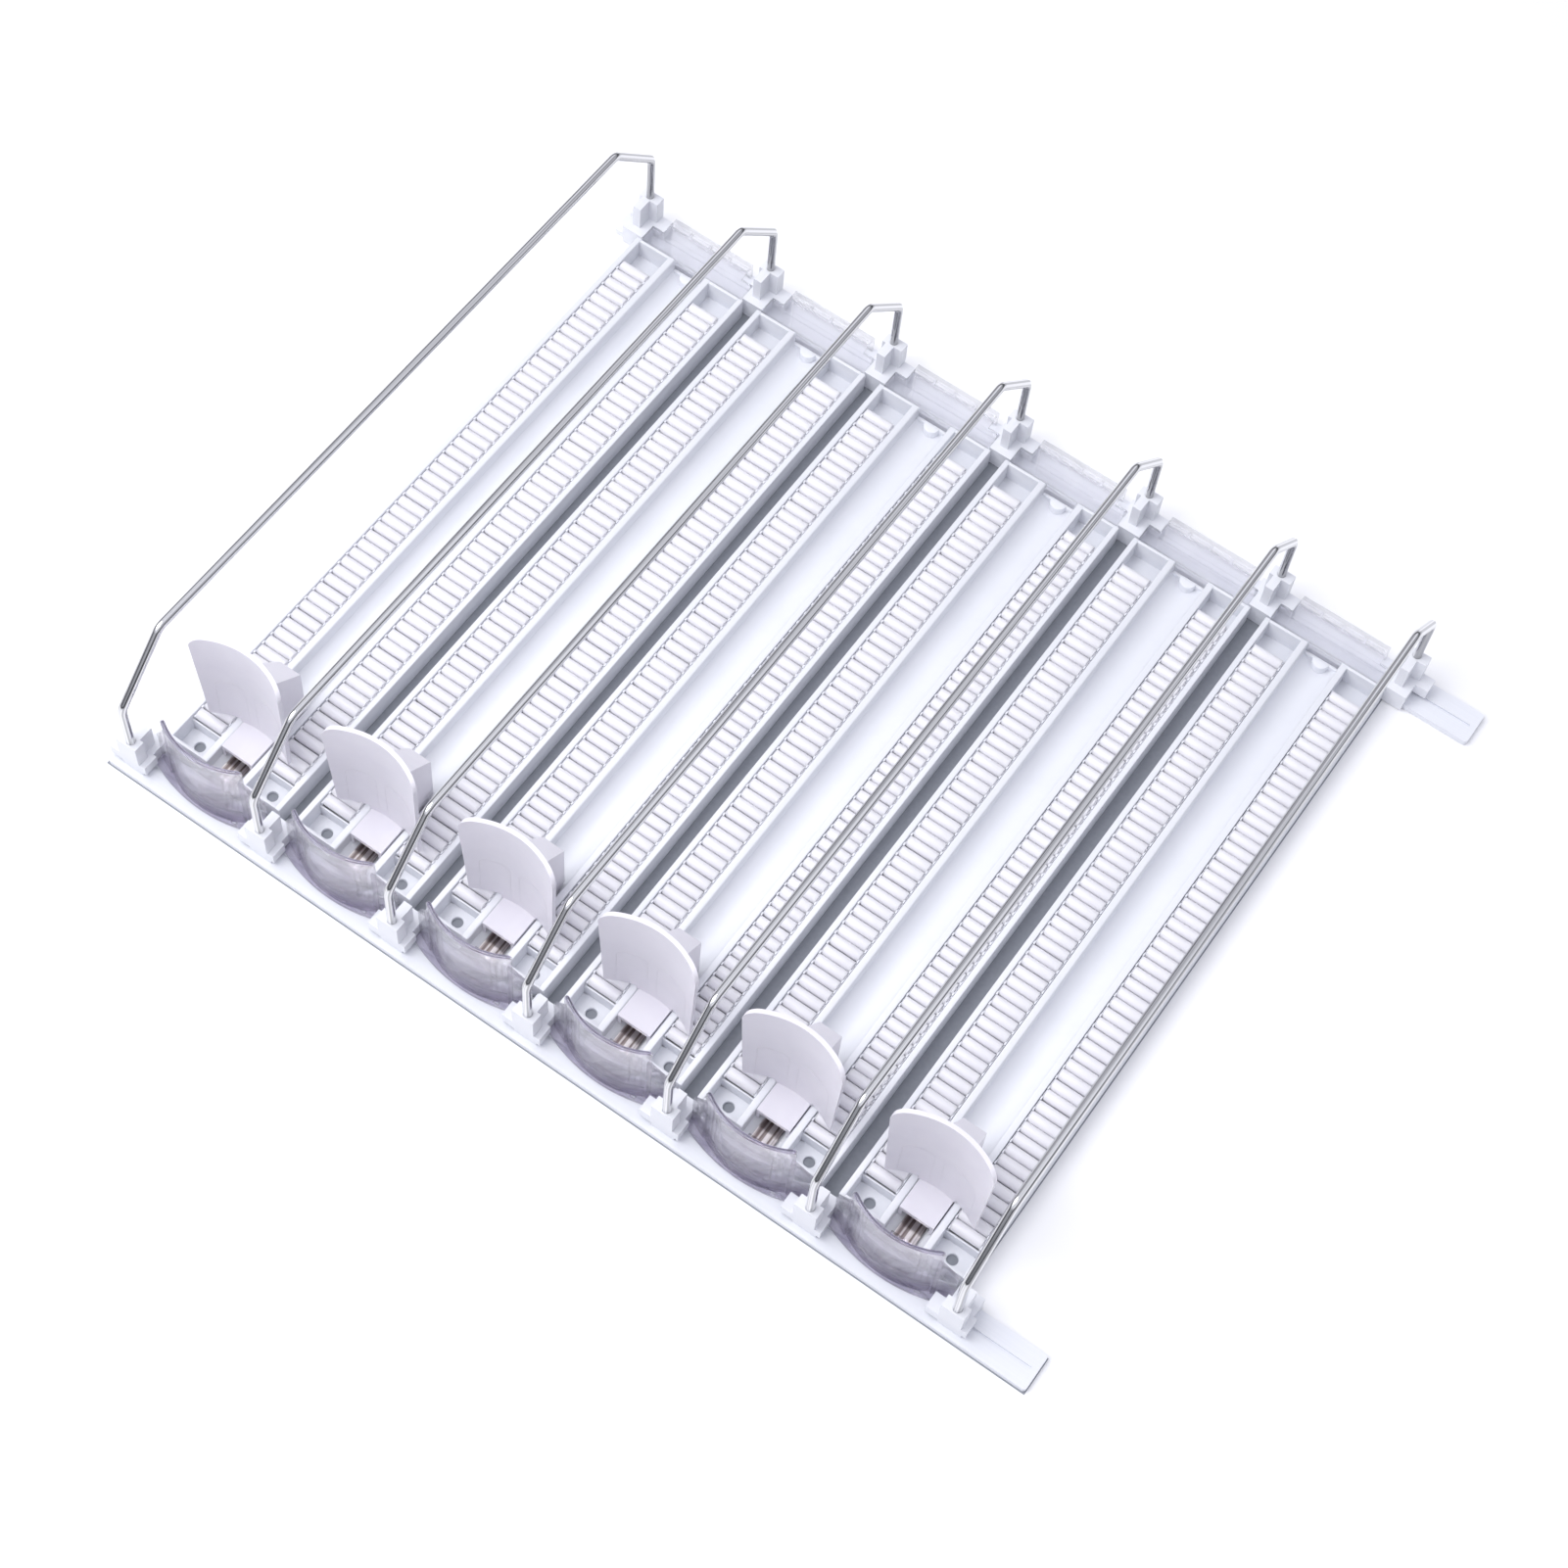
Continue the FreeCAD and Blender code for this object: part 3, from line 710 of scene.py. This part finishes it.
def stop_plate(shape):
    """The foot of a stop, with a bowed front edge and two slots."""
    xs = sorted({step * STOP_REACH / 20 for step in range(-20, 21)} | {x for slot in SLOTS for x in slot})
    rise = PLATE_CORNER - PLATE_FRONT
    radius = (STOP_REACH ** 2 + rise ** 2) / (2 * rise)
    rows = []
    for x in xs:
        front = PLATE_FRONT + radius - math.sqrt(radius ** 2 - x ** 2)
        cut = max(SLOT_START, front + 0.3)
        rows.append([front, cut, max(SLOT_END, cut + 0.3), PLATE_REAR])
    middles = [(a + b) / 2 for a, b in zip(xs, xs[1:])]
    holes = {(i, 1) for i, x in enumerate(middles) for start, end in SLOTS if start <= x <= end}
    holed_floor(shape, xs, rows, holes, PLATE_LOW, PLATE_TOP)


def stop_wing():
    """A side panel from the end of the wall back to the seat, falling to its tip."""
    shape = ([], [])
    rings = []
    for share in (0.0, 0.02, 0.5, 0.98, 1.0):
        x = STOP_HALF - 1.6 + (STOP_REACH - STOP_HALF + 1.6) * share
        y = WING_START[0] + (WING_TIP[0] - WING_START[0]) * share
        top = WING_START[1] + (WING_TIP[1] - WING_START[1]) * share
        trim = 0.25 if share in (0.0, 1.0) else 0.0
        back = y + WING_THICK - trim
        outline = rounded_outline([(y + trim, PLATE_LOW, 0), (back, PLATE_LOW, 0),
                                   (back, top - trim, 0.6), (y + trim, top - trim, 0.6)])
        rings.append([(x, u, v) for u, v in outline])
    loft(shape, rings)
    return shape


def wall_rib(shape, s, low, high):
    """A fine upright rib on the rear face of the wall, at a distance along the wall."""
    rings = []
    for z, trim in ((low, 0.0), (high - 0.5, 0.0), (high, 0.3)):
        corners = [(-0.45, 0.1), (0.45, 0.1), (0.3 - trim, -0.6 + trim), (-0.3 + trim, -0.6 + trim)]
        rings.append([stop_place((s + u) / STOP_RADIUS, STOP_THICK - v, z) for u, v in corners])
    loft(shape, rings)


def front_stop():
    shape = ([], [])
    for s in (-19.0, -16.5, -14.0, 14.0, 16.5, 19.0):
        wall_rib(shape, s, SILL_TOP, RIB_TOP)
    bowed_wall(shape, STOP_HALF, STOP_THICK, STOP_TOP, STOP_CORNER)
    bowed_wall(shape, STOP_HALF - SILL_INSET, SILL_THICK, SILL_TOP, 0.6)
    stop_plate(shape)
    block(shape, -NECK_HALF, NECK_HALF, PLATE_REAR - 0.1, TRAY_START - 0.02, PLATE_LOW, PLATE_TOP - 0.02)
    block(shape, -HOOK_HALF, HOOK_HALF, PLATE_REAR, TRAY_START + 2, 4.0, 6.0)
    return joined(shape, mirrored(stop_wing()))


stop_mesh = mesh_of("front_stop", front_stop())
for number in range(1, LANES + 1):
    piece(f"clear_stop_{number}", stop_mesh, clear_stop, lane_x(number), f"lane_{number}",
          [f"front_stop_{number}"])


# Pushers: the lines that the mould leaves on the paddle's face


def paddle_point(x, z):
    """A point on the bowed front face of the paddle."""
    return x, PADDLE_MID - PADDLE_RADIUS + math.sqrt(PADDLE_RADIUS ** 2 - x ** 2), z


def welt(shape, path, radius):
    """A fine raised line that follows the paddle's face."""
    rings = []
    for number, (x, z) in enumerate(path):
        here = Vector(paddle_point(x, z))
        before = Vector(paddle_point(*path[max(0, number - 1)]))
        after = Vector(paddle_point(*path[min(len(path) - 1, number + 1)]))
        way = (after - before).normalized()
        out = Vector((-x / PADDLE_RADIUS, -math.sqrt(1 - (x / PADDLE_RADIUS) ** 2), 0)).normalized()
        side = way.cross(out).normalized()
        rings.append([tuple(here + out * (radius * 0.6 * math.sin(t)) + side * (radius * math.cos(t)))
                      for t in [math.radians(60 * step) for step in range(6)]])
    loft(shape, rings)


def paddle_welts():
    shape = ([], [])
    low, high = FOOT_TOP + 4.0, 44.0
    for centre, half in ((-11.0, 6.5), (8.5, 8.5)):
        rounding = half * 0.55
        path = [(centre - half, low + (high - rounding - low) * step / 6) for step in range(7)]
        path += arc((centre - half + rounding, high - rounding), rounding, 170, 90, 6)
        path += arc((centre + half - rounding, high - rounding), rounding, 90, 10, 6)
        path += [(centre + half, high - rounding - (high - rounding - low) * step / 6) for step in range(7)]
        welt(shape, path, WELT_RADIUS)
    return shape


welt_mesh = mesh_of("paddle_welts", paddle_welts(), 60)
for number in range(1, LANES + 1):
    piece(f"paddle_welts_{number}", welt_mesh, pusher_white, lane_x(number), f"slider_{number}")


# Springs


def spring_strip():
    """The flat run of a spring, slightly hollow across, and how far along and across it each point is."""
    points, faces, along = [], [], []
    rows, columns = 40, 10
    for side in (0.0, STRIP_THICK):
        for row in range(rows + 1):
            y = TRAY_START + (COIL_Y - TRAY_START) * row / rows
            for column in range(columns + 1):
                x = STRIP_HALF * (2 * column / columns - 1)
                points.append((x, y, STRIP_LOW + side + STRIP_HOLLOW * (x / STRIP_HALF) ** 2))
                along.append((x * MM, y * MM))
    wide = columns + 1
    sheet = wide * (rows + 1)
    for row in range(rows):
        for column in range(columns):
            a = row * wide + column
            ring = (a, a + 1, a + wide + 1, a + wide)
            faces.append(tuple(reversed(ring)))
            faces.append(tuple(index + sheet for index in ring))
        for a in (row * wide, row * wide + columns):
            faces.append((a, a + wide, a + wide + sheet, a + sheet))
    for start in (0, rows * wide):
        for a in range(start, start + columns):
            faces.append((a, a + 1, a + 1 + sheet, a + sheet))
    return (points, faces), along


def spring_coil():
    """The rolled end of a spring. Its thickness is drawn a little over the strip's, so the turns show."""
    points, faces, along = [], [], []
    steps = 150
    for step in range(steps + 1):
        turn = 2 * math.pi * COIL_TURNS * step / steps
        far = turn * COIL_RADIUS * MM
        outer = COIL_RADIUS - COIL_PITCH * turn / (2 * math.pi)
        for radius in (outer, outer - 0.15):
            for x in (-STRIP_HALF, STRIP_HALF):
                points.append((x, COIL_Y - radius * math.sin(turn), COIL_Z - radius * math.cos(turn)))
                along.append((x * MM, far))
    for step in range(steps):
        a = step * 4
        for low, high in ((0, 1), (1, 3), (3, 2), (2, 0)):
            faces.append((a + low, a + high, a + high + 4, a + low + 4))
    faces.append((0, 1, 3, 2))
    faces.append((steps * 4, steps * 4 + 1, steps * 4 + 3, steps * 4 + 2))
    return (points, faces), along


coil_shape, coil_along = spring_coil()
coil_mesh = with_length_map(mesh_of("spring_coil", coil_shape), coil_along)
strip_shape, strip_along = spring_strip()
for number in range(1, LANES + 1):
    piece(f"spring_coil_{number}", coil_mesh, strip_steel, lane_x(number), f"slider_{number}",
          [f"spring_{number}"])
    strip_mesh = with_length_map(mesh_of(f"spring_strip_{number}", strip_shape), strip_along)
    strip = bpy.data.objects.new(f"spring_strip_{number}", strip_mesh)
    scene.collection.objects.link(strip)
    strip.location = (lane_x(number) * MM, -DEPTH / 2 * MM, 0)
    strip_mesh.materials.append(strip_steel)
    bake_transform(strip)


# Solids that are kept


def dress(name, material, edge):
    """Give a kept solid its material and rounded edges."""
    node = nodes[name]
    node.data.materials.clear()
    node.data.materials.append(material)
    weld = node.modifiers.new("weld", "WELD")
    weld.merge_threshold = 0.00001
    bevel = node.modifiers.new("edges", "BEVEL")
    bevel.width = edge * MM
    bevel.segments = 2
    bevel.limit_method = "ANGLE"
    bevel.angle_limit = math.radians(40)
    node.data.shade_smooth()
    smooth = node.modifiers.new("normals", "WEIGHTED_NORMAL")
    smooth.keep_sharp = False


for name in ("front_rail", "rear_rail"):
    dress(name, rail_white, 0.3)
for number in range(1, LANES + 2):
    for end in ("front", "rear"):
        dress(f"{end}_seat_{number}", tray_white, 0.35)
for number in range(1, LANES + 1):
    dress(f"rear_connector_{number}", clear_cover, 0.3)
    dress(f"pusher_{number}", pusher_white, 0.35)


# Floor, light and camera


def floor():
    """A plain pale floor that reaches far enough to fill the view behind the part."""
    mesh = bpy.data.meshes.new("floor")
    work = bmesh.new()
    bmesh.ops.create_circle(work, cap_ends=True, radius=8.0, segments=96)
    work.to_mesh(mesh)
    work.free()
    made = bpy.data.objects.new("floor", mesh)
    scene.collection.objects.link(made)
    made.location = (0, 0, -0.0002)
    mesh.materials.append(painted_board())


def painted_shade_sheet():
    """Painted shade: a grey sheet under the trays, seen only in the gaps and as a thin line along the front
    rail, where shade falls.
    """
    mesh = bpy.data.meshes.new("painted_shade_sheet")
    points, faces = [], []
    beside = TRAY_HALF + 0.5
    rail_half = 235.4
    rail_depth = 17.5
    for x0, x1, y0, y1 in ((lane_x(1) - beside, lane_x(LANES) + beside, rail_depth, DEPTH - rail_depth),
                           (-rail_half, rail_half, -0.6, rail_depth)):
        first = len(points)
        points += [(x * MM, (y - DEPTH / 2) * MM, 0) for x, y in ((x0, y0), (x1, y0), (x1, y1), (x0, y1))]
        faces.append(tuple(range(first, first + 4)))
    mesh.from_pydata(points, [], faces)
    made = bpy.data.objects.new("painted_shade_sheet", mesh)
    scene.collection.objects.link(made)
    made.location = (0, 0, -0.0001)
    mesh.materials.append(painted_shade_grey())


def softbox(name, place, target, width, height, watts):
    """A large soft lamp that points at a target."""
    light = bpy.data.lights.new(name, "AREA")
    light.shape = "RECTANGLE"
    light.size = width
    light.size_y = height
    light.energy = watts
    made = bpy.data.objects.new(name, light)
    scene.collection.objects.link(made)
    made.location = place
    made.rotation_euler = (Vector(target) - Vector(place)).to_track_quat("-Z", "Y").to_euler()


def studio_walls():
    """A pale room: bright above, with a darker band over the horizon, which gives steel its dark lines."""
    world = bpy.data.worlds.new("studio")
    scene.world = world
    world.use_nodes = True
    tree = world.node_tree
    tree.nodes.clear()
    height = add(tree, "SeparateXYZ", links={"Vector": add(tree, "TexCoord").outputs["Generated"]})
    shade = add(tree, "ValToRGB", links={"Fac": height.outputs["Z"]})
    ramp = shade.color_ramp
    ramp.elements[0].position = 0.08
    ramp.elements[0].color = srgb("#E4E5EB")
    ramp.elements[1].position = 0.55
    ramp.elements[1].color = srgb("#F1F2FB")
    for rise in (0.13, 0.23):
        ramp.elements.new(rise).color = srgb("#43454C")
    back = add(tree, "Background", {"Strength": 0.95}, {"Color": shade.outputs["Color"]})
    add(tree, "OutputWorld", links={"Surface": back.outputs[0]})


def aim_camera():
    """The photo's view, from high above the right front corner with a long lens."""
    azimuth = math.radians(28.60)
    elevation = math.radians(61.52)
    roll = math.radians(7.30)
    back = Vector((math.sin(azimuth) * math.cos(elevation), -math.cos(azimuth) * math.cos(elevation),
                   math.sin(elevation)))
    right = (-back).cross(Vector((0, 0, 1))).normalized()
    up = right.cross(-back)
    level = right * math.cos(roll) + up * math.sin(roll)
    upright = up * math.cos(roll) - right * math.sin(roll)
    camera = bpy.data.objects.new("camera", bpy.data.cameras.new("camera"))
    scene.collection.objects.link(camera)
    camera.data.sensor_width = 36.0
    camera.data.lens = 67.6
    camera.data.clip_start = 0.05
    turn = Matrix((level, upright, back)).transposed()
    camera.matrix_world = Matrix.Translation((0.2954, -0.5601, 1.1240)) @ turn.to_4x4()
    scene.camera = camera


floor()
painted_shade_sheet()
softbox("key", (-0.6, -0.5, 1.45), (0, 0, 0), 1.3, 1.3, 19)
studio_walls()
aim_camera()
scene.view_settings.view_transform = "Standard"
